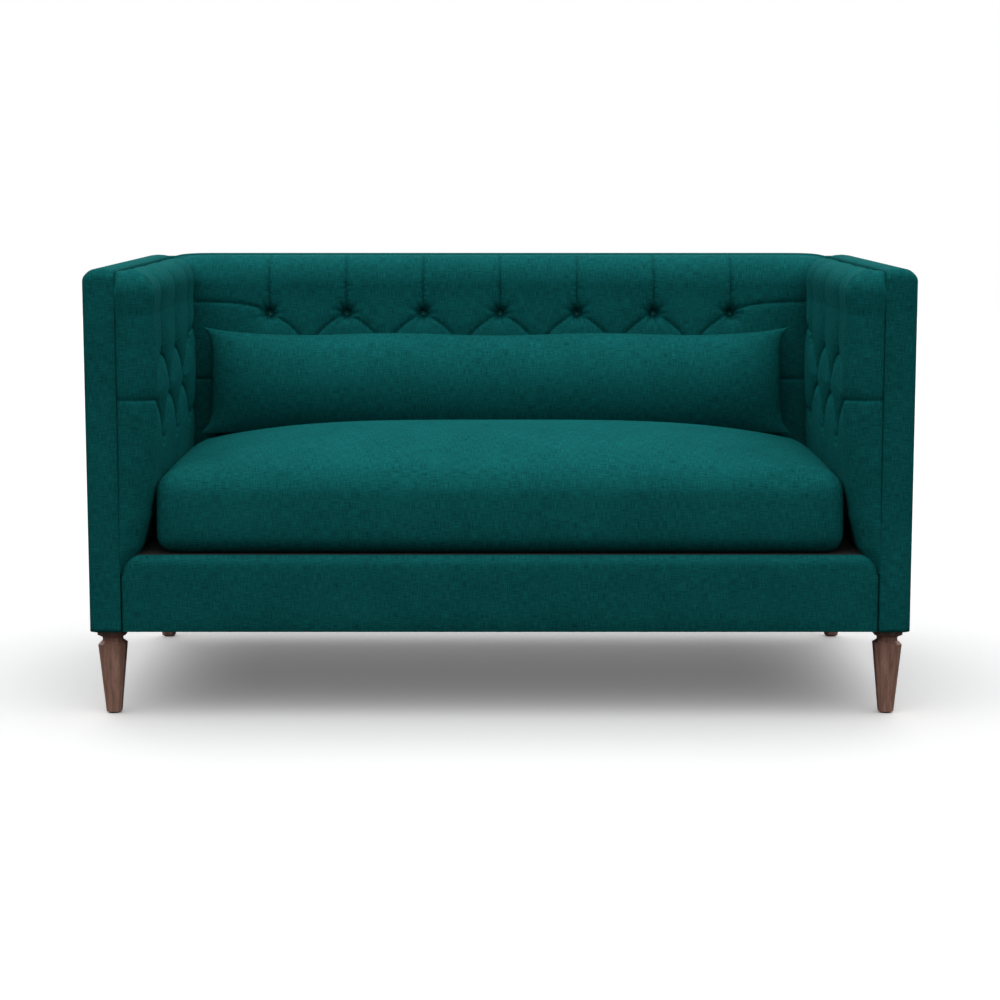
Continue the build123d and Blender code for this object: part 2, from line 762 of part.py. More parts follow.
with BuildPart() as seat_cushion_cover:
    add(seat_outer.part)
    add(seat_inner.part, mode=Mode.SUBTRACT)
save(seat_cushion_cover.part, "seat_cushion_cover")

with BuildPart() as seat_cushion_wrap:
    add(seat_wrap_outer.part)
    add(seat_wrap_inner.part, mode=Mode.SUBTRACT)
save(seat_cushion_wrap.part, "seat_cushion_wrap")
save(seat_core.part, "seat_cushion_core")

# Zip along the back of the cushion, with its slider
zip_middle = seat_floor + zip_height
zip_face = seat_rear + zip_tape
with BuildPart() as seat_cushion_zip:
    block(
        (-zip_length / 2, zip_length / 2),
        (seat_rear, zip_face),
        (zip_middle - zip_tape_width / 2, zip_middle + zip_tape_width / 2),
    )
    block(
        (-zip_length / 2, zip_length / 2),
        (zip_face, zip_face + zip_coil_height),
        (zip_middle - zip_coil_width / 2, zip_middle + zip_coil_width / 2),
    )
save(seat_cushion_zip.part, "seat_cushion_zip")

with BuildPart() as seat_zip_slider:
    slider_start = -zip_length / 2 + slider_rest
    slider_x = (slider_start, slider_start + slider_length)
    slot_half = zip_coil_width / 2 + slider_gap
    slot_top = zip_face + zip_coil_height + slider_gap
    slider_half = slot_half + slider_wall
    slider_z = (zip_middle - slider_half, zip_middle + slider_half)
    slot_z = (zip_middle - slot_half, zip_middle + slot_half)
    block(slider_x, (zip_face + slider_gap, slot_top + slider_wall), slider_z)
    block(slider_x, (zip_face, slot_top), slot_z, mode=Mode.SUBTRACT)
save(seat_zip_slider.part, "seat_zip_slider")

# Lumbar cushion: knife edges top and bottom, pointed corners, leaning on the back
lean = radians(lumbar_lean)
lumbar_out = (0, -cos(lean), sin(lean))
lumbar_mid_z = seat_floor + seat_edge_height + lumbar_height / 2
lumbar_back_y = y_face + (lumbar_mid_z - z_deck) * tan(radians(back_rake)) - lumbar_gap
lumbar_y = lumbar_back_y - lumbar_rear / cos(lean) - lumbar_height / 2 * sin(lean)


def lumbar_clearance(turn):
    """How high the knife edge must stand for a point of the front arc to rest on the seat."""
    half = lumbar_height / 2
    radius = (half**2 + lumbar_front**2) / (2 * lumbar_front)
    out = lumbar_front - radius + radius * cos(turn)
    up = half - radius * sin(turn)
    point_y = lumbar_y + up * sin(lean) - out * cos(lean)
    return seat_top_at(point_y) - up * cos(lean) - out * sin(lean)


lumbar_radius = (lumbar_height**2 / 4 + lumbar_front**2) / (2 * lumbar_front)
lumbar_reach = asin(lumbar_height / 2 / lumbar_radius)
lumbar_turns = [lumbar_reach * i / contact_steps for i in range(contact_steps + 1)]
lumbar_z = lumbar_gap + max(lumbar_clearance(turn) for turn in lumbar_turns)


def lumbar_body(inset):
    """The cushion's form: two arcs from knife edge to knife edge, thinning to the ends."""
    sections = []
    for share in lumbar_station_shares:
        swell = (1 - abs(share) ** lumbar_fullness) ** 0.5
        front = lumbar_tip + (lumbar_front - lumbar_tip) * swell - inset
        rear = lumbar_tip + (lumbar_rear - lumbar_tip) * swell - inset
        low = -lumbar_sag * share**4 + inset
        high = lumbar_height + lumbar_ear * share**4 - inset
        middle = (low + high) / 2
        x = lumbar_shift + share * (lumbar_half_length - inset)
        with BuildSketch(Plane((x, lumbar_y, lumbar_z), x_dir=lumbar_out, z_dir=(-1, 0, 0))) as section:
            with BuildLine():
                ThreePointArc((0, low), (front, middle), (0, high))
                ThreePointArc((0, high), (-rear, middle), (0, low))
            make_face()
        sections.append(section.sketch)
    loft(sections)


with BuildPart() as lumbar_outer:
    lumbar_body(0)
with BuildPart() as lumbar_inner:
    lumbar_body(lumbar_cloth)
with BuildPart() as lumbar_filling:
    lumbar_body(lumbar_cloth + soft_gap)

with BuildPart() as lumbar_cover:
    add(lumbar_outer.part)
    add(lumbar_inner.part, mode=Mode.SUBTRACT)
save(lumbar_cover.part, "lumbar_cover")
save(lumbar_filling.part, "lumbar_filling")
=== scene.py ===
import math

import bmesh
import bpy
import numpy as np
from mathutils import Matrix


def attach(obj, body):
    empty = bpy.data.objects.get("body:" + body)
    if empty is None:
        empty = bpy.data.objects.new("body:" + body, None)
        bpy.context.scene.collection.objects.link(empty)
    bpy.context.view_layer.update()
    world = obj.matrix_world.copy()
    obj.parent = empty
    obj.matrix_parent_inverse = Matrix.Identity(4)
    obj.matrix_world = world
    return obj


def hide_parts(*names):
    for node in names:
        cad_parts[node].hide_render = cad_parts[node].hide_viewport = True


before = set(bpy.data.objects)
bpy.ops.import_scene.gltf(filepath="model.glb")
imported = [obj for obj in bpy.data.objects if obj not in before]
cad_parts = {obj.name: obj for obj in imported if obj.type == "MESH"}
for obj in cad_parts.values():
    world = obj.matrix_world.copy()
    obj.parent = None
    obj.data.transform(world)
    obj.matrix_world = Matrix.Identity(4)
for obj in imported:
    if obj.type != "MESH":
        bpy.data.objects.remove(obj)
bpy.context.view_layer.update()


# Legs and glides
# Four walnut legs with cut corners, a collar, a neck and a long taper, oiled to a dull sheen.
# Each is screwed up into the frame on its hanger bolt, and stands on a small nailed plastic glide.
def put(tree, kind, ins=None, **props):
    """Add a node, set its properties, and set or link its inputs."""
    made = tree.nodes.new(kind)
    for name, value in props.items():
        setattr(made, name, value)
    for name, value in (ins or {}).items():
        if isinstance(value, bpy.types.NodeSocket):
            tree.links.new(value, made.inputs[name])
        else:
            made.inputs[name].default_value = value
    return made


def work_out(tree, operation, *values, **props):
    """One step of arithmetic on sockets and numbers."""
    return put(tree, "ShaderNodeMath", dict(enumerate(values)), operation=operation, **props).outputs[0]


def ranged(tree, value, **ends):
    """Take a value from one range to another; ends are from_min, from_max, to_min and to_max."""
    ins = {end.replace("_", " ").title(): number for end, number in ends.items()}
    return put(tree, "ShaderNodeMapRange", {"Value": value, **ins}).outputs[0]


def noise(tree, spot, scale, detail, **more):
    """Cloudy noise from 0 to 1 at a scale."""
    ins = {"Vector": spot, "Scale": scale, "Detail": detail, **more}
    return put(tree, "ShaderNodeTexNoise", ins).outputs["Fac"]


def mix_colours(tree, share, low, high):
    """The colour between two: low where the share is 0, high where it is 1."""
    return put(tree, "ShaderNodeMix", {0: share, 6: low, 7: high}, data_type="RGBA").outputs[2]


def stretched(tree, spot, scale):
    """A place with its three axes scaled apart."""
    return put(tree, "ShaderNodeVectorMath", {0: spot, 1: scale}, operation="MULTIPLY").outputs[0]


def new_group(name, ins, outs):
    """A shader node group with named sockets; gives its tree, its inputs and its output node."""
    tree = bpy.data.node_groups.new(name, "ShaderNodeTree")
    for label, kind, value in ins:
        socket = tree.interface.new_socket(label, in_out="INPUT", socket_type="NodeSocket" + kind)
        if value is not None:
            socket.default_value = value
    for label, kind in outs:
        tree.interface.new_socket(label, in_out="OUTPUT", socket_type="NodeSocket" + kind)
    return tree, put(tree, "NodeGroupInput").outputs, put(tree, "NodeGroupOutput")


def new_material(name, **sockets):
    """A material with a Principled shader; gives the material, its tree and the shader."""
    made = bpy.data.materials.new(name)
    made.use_nodes = True
    tree = made.node_tree
    tree.nodes.clear()
    shader = put(tree, "ShaderNodeBsdfPrincipled")
    for label, value in sockets.items():
        shader.inputs[label.replace("_", " ")].default_value = value
    put(tree, "ShaderNodeOutputMaterial", {"Surface": shader.outputs[0]})
    return made, tree, shader


def feed(tree, shader, **sockets):
    """Link sockets that change over the surface to the shader's inputs."""
    for label, socket in sockets.items():
        tree.links.new(socket, shader.inputs[label.replace("_", " ")])


def finish_nodes(material, *names):
    """Give CAD pieces their finish."""
    for name in names:
        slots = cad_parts[name].data.materials
        slots.clear()
        slots.append(material)


grain, given, out = new_group(
    "wood_grain",
    [
        ("Stretch", "Vector", (1.0, 1.0, 0.05)),
        ("Light", "Color", (0.3, 0.16, 0.11, 1)),
        ("Dark", "Color", (0.14, 0.07, 0.05, 1)),
        ("Fineness", "Float", 170.0),
    ],
    [("Color", "Color"), ("Roughness", "Float"), ("Height", "Float")],
)
spot = put(grain, "ShaderNodeTexCoord").outputs["Object"]
along = stretched(grain, spot, given["Stretch"])
streaks = noise(grain, along, given["Fineness"], 5.0, Distortion=0.6)
pores = noise(grain, along, work_out(grain, "MULTIPLY", given["Fineness"], 6.0), 2.0)
cloud = noise(grain, along, 28.0, 2.0)
both = work_out(grain, "MULTIPLY_ADD", cloud, 0.38, work_out(grain, "MULTIPLY", streaks, 0.62))
share = ranged(grain, both, from_min=0.36, from_max=0.64)
open_pore = ranged(grain, pores, from_min=0.56, from_max=0.7)
tone = mix_colours(grain, share, given["Dark"], given["Light"])
tone = mix_colours(grain, work_out(grain, "MULTIPLY", open_pore, 0.55), tone, given["Dark"])
dullness = ranged(grain, share, to_min=0.52, to_max=0.38)
level = work_out(grain, "SUBTRACT", share, open_pore)
for label, socket in (("Color", tone), ("Roughness", dullness), ("Height", level)):
    grain.links.new(socket, out.inputs[label])


def wood(name, light, dark, stretch, fineness):
    """A timber finish from the shared grain; stretch draws the grain out along the piece."""
    made, tree, shader = new_material(name)
    values = {"Light": light, "Dark": dark, "Stretch": stretch, "Fineness": fineness}
    look = put(tree, "ShaderNodeGroup", values, node_tree=grain).outputs
    bump = put(tree, "ShaderNodeBump", {"Height": look["Height"], "Strength": 0.25, "Distance": 0.0004})
    feed(tree, shader, Base_Color=look["Color"], Roughness=look["Roughness"], Normal=bump.outputs[0])
    return made


walnut_light, walnut_dark = (0.68, 0.385, 0.294, 1), (0.29, 0.150, 0.114, 1)
walnut = wood("oiled_walnut", walnut_light, walnut_dark, (1.0, 1.0, 0.05), 170.0)
finish_nodes(walnut, "leg_front_left", "leg_front_right", "leg_rear_left", "leg_rear_right")


def speckled(name, colour, spread, fineness, bump_depth, **sockets):
    """A plain finish with a fine mottle in its colour, gloss and surface."""
    made, tree, shader = new_material(name, **sockets)
    mottle = noise(tree, put(tree, "ShaderNodeTexCoord").outputs["Object"], fineness, 4.0)
    dark = [c * (1 - spread) for c in colour] + [1]
    light = [min(1.0, c * (1 + spread)) for c in colour] + [1]
    rough = shader.inputs["Roughness"].default_value
    dullness = ranged(tree, mottle, to_min=rough - 0.08, to_max=rough + 0.08)
    bump = put(tree, "ShaderNodeBump", {"Height": mottle, "Strength": 0.4, "Distance": bump_depth}).outputs[0]
    feed(tree, shader, Base_Color=mix_colours(tree, mottle, dark, light), Roughness=dullness, Normal=bump)
    return made


glide_plastic = speckled("brown_glide_plastic", (0.05, 0.035, 0.028), 0.25, 900.0, 0.0002, Roughness=0.5)
finish_nodes(glide_plastic, "leg_glides")

# Timber frame with its bolts and screws
# Pine posts and rails, glued and screwed together through corner blocks, hidden under the covers.
# Threaded inserts in the posts take the bolts of the legs.
pine = wood("frame_pine", (0.62, 0.44, 0.26, 1), (0.45, 0.28, 0.14, 1), (0.06, 0.5, 0.5), 110.0)
finish_nodes(
    pine, "arm_front_post_left", "arm_front_post_right", "back_post_left", "back_post_right", "front_rail",
    "rear_rail", "centre_brace", "side_rail_left", "side_rail_right", "arm_top_rail_left",
    "arm_top_rail_right", "arm_tack_rail_left", "arm_tack_rail_right", "back_top_rail", "back_tack_rail",
    "back_uprights", "corner_blocks",
)
steel = speckled("bright_steel", (0.56, 0.56, 0.55), 0.12, 700.0, 0.0001, Roughness=0.34, Metallic=1.0)
finish_nodes(
    steel, "leg_bolts", "leg_inserts", "frame_screws", "seat_springs", "spring_clips", "spring_tie_wires",
)

# Seat deck and inner padding
# Sinuous springs carry a felt pad under a black deck cloth; foam slabs, fibreboard, jute hessian and
# webbing shape the arms and the back, and twine holds each button down through them.
fibreboard = speckled("fibreboard", (0.30, 0.20, 0.12), 0.3, 260.0, 0.0003, Roughness=0.85)
finish_nodes(fibreboard, "arm_inner_panel_left", "arm_inner_panel_right")
foam = speckled("upholstery_foam", (0.78, 0.73, 0.58), 0.12, 420.0, 0.0008, Roughness=0.95)
finish_nodes(foam, "back_foam", "arm_foam_left", "arm_foam_right", "front_border_foam", "seat_felt")

weave, given, out = new_group(
    "plain_weave",
    [
        ("Vector", "Vector", None),
        ("Light", "Color", (0.5, 0.5, 0.5, 1)),
        ("Dark", "Color", (0.2, 0.2, 0.2, 1)),
        ("Threads", "Float", 420.0),
        ("Slub", "Float", 1.0),
    ],
    [("Color", "Color"), ("Height", "Float")],
)
slub_along, slub_across = 55.0, 760.0
patch_weight, cloud_weight = 0.2, 0.25
average = 1 + (patch_weight + cloud_weight) / 2
courses = ((slub_along, slub_across, slub_along), (slub_across, slub_along, slub_along))
slubs = [noise(weave, stretched(weave, given["Vector"], course), 1.0, 2.0) for course in courses]
patch = noise(weave, given["Vector"], 230.0, 3.0)
cloud = noise(weave, given["Vector"], 9.0, 2.0)
mixed = work_out(weave, "ADD", *slubs)
mixed = work_out(weave, "MULTIPLY_ADD", patch, patch_weight, mixed)
mixed = work_out(weave, "MULTIPLY_ADD", cloud, cloud_weight, mixed)
mixed = work_out(weave, "SUBTRACT", mixed, average)
mixed = work_out(weave, "MULTIPLY_ADD", mixed, given["Slub"], 0.5, use_clamp=True)
place = put(weave, "ShaderNodeSeparateXYZ", {0: given["Vector"]}).outputs
turns = work_out(weave, "MULTIPLY", given["Threads"], 2 * math.pi)
ridges = [work_out(weave, "SINE", work_out(weave, "MULTIPLY", place[axis], turns)) for axis in ("X", "Y")]
cross = work_out(weave, "MULTIPLY", *ridges)
level = work_out(weave, "MULTIPLY_ADD", cross, 0.3, mixed)
shade = work_out(weave, "MULTIPLY_ADD", cross, 0.12, mixed, use_clamp=True)
weave.links.new(mix_colours(weave, shade, given["Dark"], given["Light"]), out.inputs["Color"])
weave.links.new(level, out.inputs["Height"])


def cloth(name, light, dark, threads, slub, relief, laid_by, **sockets):
    """A woven finish; laid_by is the Texture Coordinate output that the threads follow."""
    made, tree, shader = new_material(name, **sockets)
    spot = put(tree, "ShaderNodeTexCoord").outputs[laid_by]
    values = {"Vector": spot, "Light": light, "Dark": dark, "Threads": threads, "Slub": slub}
    look = put(tree, "ShaderNodeGroup", values, node_tree=weave).outputs
    bump = put(tree, "ShaderNodeBump", {"Height": look["Height"], "Strength": 0.6, "Distance": relief})
    feed(tree, shader, Base_Color=look["Color"], Normal=bump.outputs[0])
    return made


jute_light, jute_dark = (0.52, 0.38, 0.20, 1), (0.30, 0.20, 0.09, 1)
jute = cloth("jute", jute_light, jute_dark, 300.0, 1.0, 0.0006, "Object", Roughness=0.95)
finish_nodes(jute, "back_hessian", "back_webbing", "back_button_twines", "arm_button_twines")
black_light, black_dark = (0.011, 0.011, 0.012, 1), (0.004, 0.004, 0.005, 1)
black_cloth = cloth("black_deck_cloth", black_light, black_dark, 500.0, 1.0, 0.0003, "Object", Roughness=0.95)
finish_nodes(black_cloth, "seat_deck_cloth", "dust_cover")

# Tufted inside back
# One teal linen-weave cover over foam, sewn to pleats and drawn down by 20 buttons in three rows.
# The pleats run straight up to the top edge, in scale-shaped arches between rows, and out to the arms.
teal_light, teal_dark = (0.0112, 0.216, 0.216, 1), (0.0034, 0.059, 0.060, 1)
teal = cloth("teal_linen_weave", teal_light, teal_dark, 420.0, 1.3, 0.0005, "UV", Roughness=0.9,
             Sheen_Weight=0.012, Sheen_Roughness=0.4, Sheen_Tint=(0.16, 0.85, 0.84, 1),
             Specular_IOR_Level=0.008)


def soft_piece(name, points, faces, uv=None, merge=0.0):
    """A smooth-shaded cloth piece; without a uv of its own the weave is laid square on each face."""
    mesh = bpy.data.meshes.new(name)
    mesh.from_pydata(points.tolist(), [], faces)
    if merge:
        work = bmesh.new()
        work.from_mesh(mesh)
        bmesh.ops.remove_doubles(work, verts=work.verts, dist=merge)
        bmesh.ops.dissolve_degenerate(work, edges=work.edges, dist=merge)
        bmesh.ops.recalc_face_normals(work, faces=work.faces)
        work.to_mesh(mesh)
        work.free()
    mesh.shade_smooth()
    lay_weave(mesh, uv)
    made = bpy.data.objects.new(name, mesh)
    bpy.context.scene.collection.objects.link(made)
    made.data.materials.append(teal)
    return made


def lay_weave(mesh, uv=None):
    """Write the weave's map in metres: the one given for each point, or square on the way a face looks."""
    corner = np.empty(len(mesh.loops), int)
    mesh.loops.foreach_get("vertex_index", corner)
    if uv is None:
        places = np.empty(len(mesh.vertices) * 3)
        mesh.vertices.foreach_get("co", places)
        facing = np.empty(len(mesh.polygons) * 3)
        mesh.polygons.foreach_get("normal", facing)
        sizes = np.empty(len(mesh.polygons), int)
        mesh.polygons.foreach_get("loop_total", sizes)
        axis = np.repeat(np.abs(facing.reshape(-1, 3)).argmax(1), sizes)
        place = places.reshape(-1, 3)[corner]
        across = np.where(axis == 0, place[:, 1], place[:, 0])
        up = np.where(axis == 2, place[:, 1], place[:, 2])
        values = np.stack([across, up], 1)
    else:
        values = uv[corner]
    layer = mesh.uv_layers.new(name="weave")
    layer.data.foreach_set("uv", values.astype(np.float32).ravel())


def grid_faces(rows, columns, turned=False):
    """Quads of a grid whose points run along each row in turn."""
    a = (np.arange(rows - 1)[:, None] * columns + np.arange(columns - 1)[None, :]).ravel()
    quads = np.stack([a, a + 1, a + columns + 1, a + columns], 1)
    return (quads[:, ::-1] if turned else quads).tolist()


def grid_rim(rows, columns):
    """The points round the edge of such a grid, in order."""
    first = np.arange(columns)
    return np.concatenate([
        first, (np.arange(1, rows - 1) + 1) * columns - 1, first[::-1] + (rows - 1) * columns,
        np.arange(rows - 2, 0, -1) * columns,
    ])


def bezier(a, b, c, d, steps=26):
    """Points along a pleat that leaves a towards b and arrives at d from c."""
    t = np.linspace(0, 1, steps)[:, None]
    a, b, c, d = (np.array(p, float) for p in (a, b, c, d))
    return a * (1 - t) ** 3 + 3 * b * t * (1 - t) ** 2 + 3 * c * t**2 * (1 - t) + d * t**3


def straight_pleat(x, *levels):
    """The pleat that runs straight up or down from a button through four levels."""
    return bezier(*[(x, level) for level in levels])


def scale_pleat(upper, lower):
    """The arched pleat from a button down to its neighbour in the row below."""
    dx, dy = lower[0] - upper[0], lower[1] - upper[1]
    return bezier(upper, (upper[0] + 0.45 * dx, upper[1] + 0.18 * dy),
                  (upper[0] + 0.88 * dx, upper[1] + 0.58 * dy), lower)


def scale_pleats(rows, pitch, fold):
    """The arched pleats that join every button to its neighbours in the row below."""
    return [(scale_pleat(a, b), *fold) for upper_row, lower_row in zip(rows, rows[1:])
            for a in upper_row for b in lower_row if abs(a[0] - b[0]) < pitch]


def edge_pleat(button, edge, rise):
    """The pleat from an end button to the pad's edge, lifting a little before it runs level."""
    side = 1 if edge > button[0] else -1
    level = button[1] + rise
    return bezier(button, (button[0] + side * 0.022, button[1] + 0.6 * rise),
                  (button[0] + side * 0.045, level), (edge, level))


pleat_reach, upper_lip, lower_lip = 0.07, 0.0030, 0.0018
dimple_flat, dimple_depth, dimple_spread = 0.0052, 0.0350, 0.0084
gather_count, gather_depth, gather_turn = 9, 0.10, 40
shared_depth = 0.35


def drawn_in(across, up, pleats, buttons):
    """How far the cloth sinks at each point of a pad: along its pleats and round its buttons.

    A pleat is its course and its fold: the depth at the start and at the end, the breadth, and the share of
    the depth that is a crisp crease. Where a pleat meets a button, a share of the lesser depth is added.
    """
    sunk = np.zeros_like(across)
    for course, first, last, broad, crisp in pleats:
        low, high = course.min(0) - pleat_reach, course.max(0) + pleat_reach
        near = (across > low[0]) & (across < high[0]) & (up > low[1]) & (up < high[1])
        x, y = across[near], up[near]
        best = np.full(x.shape, np.inf)
        share = np.zeros(x.shape)
        above = np.zeros(x.shape)
        for i, ((ax, ay), (bx, by)) in enumerate(zip(course, course[1:])):
            ux, uy = bx - ax, by - ay
            t = np.clip(((x - ax) * ux + (y - ay) * uy) / (ux * ux + uy * uy), 0, 1)
            gap = np.hypot(x - ax - t * ux, y - ay - t * uy)
            closer = gap < best
            best = np.where(closer, gap, best)
            share = np.where(closer, (i + t) / (len(course) - 1), share)
            above = np.where(closer, (y - ay) * abs(ux) - (x - ax) * uy * np.sign(ux), above)
        lip = np.where(above > 0, upper_lip, lower_lip)
        depth = first + (last - first) * share
        fold = depth * (crisp * np.exp(-best / lip) + (1 - crisp) * np.exp(-((best / broad) ** 1.4)))
        sunk[near] = np.maximum(sunk[near], fold)
    hole = np.zeros_like(across)
    for x, y in buttons:
        gap = np.maximum(0, np.hypot(across - x, up - y) - dimple_flat)
        gathers = 1 + gather_depth * np.cos(gather_count * np.arctan2(up - y, across - x) + gather_turn * x)
        hole = np.maximum(hole, dimple_depth * np.exp(-gap / (dimple_spread * gathers)))
    return np.maximum(sunk, hole) + shared_depth * np.minimum(sunk, hole)


def rolled(gap, radius):
    """How far an edge of that radius has fallen away, at a distance in from the edge."""
    near = np.clip(1 - gap / radius, 0, 1)
    return radius * (1 - np.sqrt(1 - near**2))


def close_behind(points, faces, rows, columns, push, hub):
    """Turn the pad's rim back by push and close it on a point behind the pad."""
    rim = grid_rim(rows, columns)
    count = len(points)
    ring = count + np.arange(len(rim))
    after = np.roll(np.arange(len(rim)), -1)
    points = np.concatenate([points, points[rim] + push, [hub]])
    faces = faces + np.stack([rim[after], rim, ring, ring[after]], 1).tolist()
    faces += [[int(ring[j]), int(ring[i]), count + len(rim)] for i, j in enumerate(after)]
    return points, faces


def pad_weave(across, up, count):
    """The weave's map of a pad's grid, with nothing on the points that close it."""
    uv = np.stack([across, up], 2).reshape(-1, 2)
    return np.concatenate([uv, np.zeros((count - len(uv), 2))])


x_pad, x_seam = 0.635, 0.694
y_face, y_seam = 0.232, 0.364
z_deck, z_pad_top = 0.300, 0.815
corner_valley, valley_spread = 0.022, 0.026
rake, back_roll = math.radians(3.5), 0.058
back_pitch = 0.160
back_levels = ((7, 0.404), (6, 0.324), (7, 0.244))
back_rows = [[((i - (n - 1) / 2) * back_pitch, level) for i in range(n)] for n, level in back_levels]
face_length = (z_pad_top - z_deck - back_roll + back_roll * math.sin(rake)) / math.cos(rake)
roll_length = back_roll * (math.pi / 2 - rake)
roll_y = y_face + face_length * math.sin(rake) + back_roll * math.cos(rake)
back_length = face_length + roll_length + y_seam - roll_y

rows = 260
up = np.linspace(0, back_length, rows)
turn = rake + np.clip((up - face_length) / back_roll, 0, math.pi / 2 - rake)
on_face = np.minimum(up, face_length)
line_y = y_face + on_face * math.sin(rake) + back_roll * (math.cos(rake) - np.cos(turn))
line_y += np.clip(up - face_length - roll_length, 0, None)
line_z = z_deck + on_face * math.cos(rake) + back_roll * (np.sin(turn) - math.sin(rake))
half = x_pad + (line_y - y_face) / (y_seam - y_face) * (x_seam - x_pad)
valley = corner_valley * np.clip((y_seam - line_y) / (y_seam - y_face), 0, 1) ** 0.8
half += valley
middle = np.arange(-255, 256) * (back_pitch / 68)
end = middle[-1] + (half[:, None] - middle[-1]) * np.linspace(0, 1, 25)[None, 1:]
across = np.concatenate([-end[:, ::-1], np.repeat(middle[None, :], rows, 0), end], 1)
columns = across.shape[1]
up_grid = np.repeat(up[:, None], columns, 1)

top_fold, foot_fold = (0.0115, 0.0075, 0.009, 0.85), (0.012, 0.009, 0.014, 0.7)
scale_fold, edge_fold = (0.0100, 0.0100, 0.016, 0.62), (0.009, 0.006, 0.010, 0.75)
pleat_lead, edge_rise = 0.03, 0.024
pleats = [(straight_pleat(x, y, y + pleat_lead, back_length - 0.12, back_length - 0.035), *top_fold)
          for x, y in back_rows[0]]
pleats += [(straight_pleat(x, y, y - pleat_lead, 0.06, 0.0), *foot_fold) for x, y in back_rows[2]]
pleats += scale_pleats(back_rows, back_pitch, scale_fold)
for row in (back_rows[0], back_rows[2]):
    pleats.append((edge_pleat(row[0], -x_pad, edge_rise), *edge_fold))
    pleats.append((edge_pleat(row[-1], x_pad, edge_rise), *edge_fold))
top_puff, puff_start, puff_length, puff_end = 0.007, 0.42, 0.11, 36
top_roll = 0.002
sunk = drawn_in(across, up_grid, pleats, sum(back_rows, []))
sunk += valley[:, None] * np.exp((np.abs(across) - half[:, None]) / valley_spread)
sunk += rolled(back_length - up_grid, top_roll)
full = np.clip((up_grid - puff_start) / puff_length, 0, 1)
sunk -= top_puff * full**2 * (3 - 2 * full) * (1 - (np.abs(across) / half[:, None]) ** puff_end)
points = np.stack([
    across, line_y[:, None] + sunk * np.cos(turn)[:, None], line_z[:, None] - sunk * np.sin(turn)[:, None],
], 2).reshape(-1, 3)
turn_back, hub = (0, 0.02, -0.01), (0, 0.361, 0.55)
points, faces = close_behind(points, grid_faces(rows, columns), rows, columns, turn_back, hub)
inside_back = soft_piece("tufted_inside_back", points, faces, pad_weave(across, up_grid, len(points)))
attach(inside_back, "sofa_body")
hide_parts("inside_back_cover", "back_foam")

# Tufted inside arms
# The same cover and foam on each arm, rolled over the top and round the front to the outer cover's seam.
# Nine buttons in three staggered rows; the middle row's first pleat runs out to the front seam.
pad_roll = 0.040
arm_pitch = 0.190
arm_levels = ((0.250, 0.364), (0.345, 0.282), (0.250, 0.200))
arm_rows = [[(first - i * arm_pitch, level) for i in range(3)] for first, level in arm_levels]
y_pad_front = -0.417
low_edge = -0.034
return_width = x_seam - x_pad - pad_roll
quarter = pad_roll * math.pi / 2
arm_face_top = z_pad_top - z_deck - pad_roll
arm_length = arm_face_top + quarter + return_width
flat_front = y_pad_front + pad_roll
front_edge = -flat_front + quarter + return_width

rows = 250
up = np.linspace(low_edge, arm_length, rows)
lift = np.clip((up - arm_face_top) / pad_roll, 0, math.pi / 2)
out_top = np.clip(up - arm_face_top - quarter, 0, None)
base_x = x_pad + pad_roll * (1 - np.cos(lift)) + out_top
foot_levels, foot_tuck = [-0.034, -0.013, 0.014, 0.068, 0.130], [0.053, 0.038, 0.022, 0.007, 0.0]
foot = np.interp(np.minimum(up, arm_face_top), foot_levels, foot_tuck)
back_end = y_face + (base_x - x_pad) / (x_seam - x_pad) * (y_seam - y_face)
valley = corner_valley * np.clip((x_seam - base_x) / (x_seam - x_pad), 0, 1) ** 0.8
back_end += valley
front_button = arm_rows[1][0][0]
flat = np.concatenate([[y_face], np.arange(254, -14, -1) * (arm_pitch / 84) - front_button, [flat_front]])
corner_steps, return_steps = 28, 8
round_corner = np.linspace(0, math.pi / 2, corner_steps + 1)[1:]
swing = np.concatenate([0 * flat, round_corner, np.full(return_steps, math.pi / 2)])
past_corner = np.linspace(0, return_width, return_steps + 1)[1:]
out_front = np.concatenate([np.zeros(len(flat) + corner_steps), past_corner])
columns = len(swing)
core = np.concatenate([flat, np.full(columns - len(flat), flat_front)])
y_splay = 0.13
splay = np.clip((core - y_splay) / (y_face - y_splay), 0, 1)
core_y = core[None, :] + (back_end - y_face)[:, None] * splay[None, :]
push_out = np.maximum(out_top[:, None], out_front[None, :])
cos_a, sin_a = np.cos(swing)[None, :], np.sin(swing)[None, :]
cos_b, sin_b = np.cos(lift)[:, None], np.sin(lift)[:, None]
facing = np.stack(np.broadcast_arrays(-cos_a * cos_b, -sin_a * cos_b, sin_b + 0 * cos_a), 2)
arm_x = np.minimum(x_pad + pad_roll + pad_roll * facing[..., 0] + push_out + foot[:, None], x_seam)
arm_y = core_y + pad_roll * facing[..., 1]
arm_z = (z_deck + np.minimum(up, arm_face_top))[:, None] + pad_roll * facing[..., 2]
across = -core_y + (swing * pad_roll + out_front)[None, :]
up_grid = np.repeat(up[:, None], columns, 1)

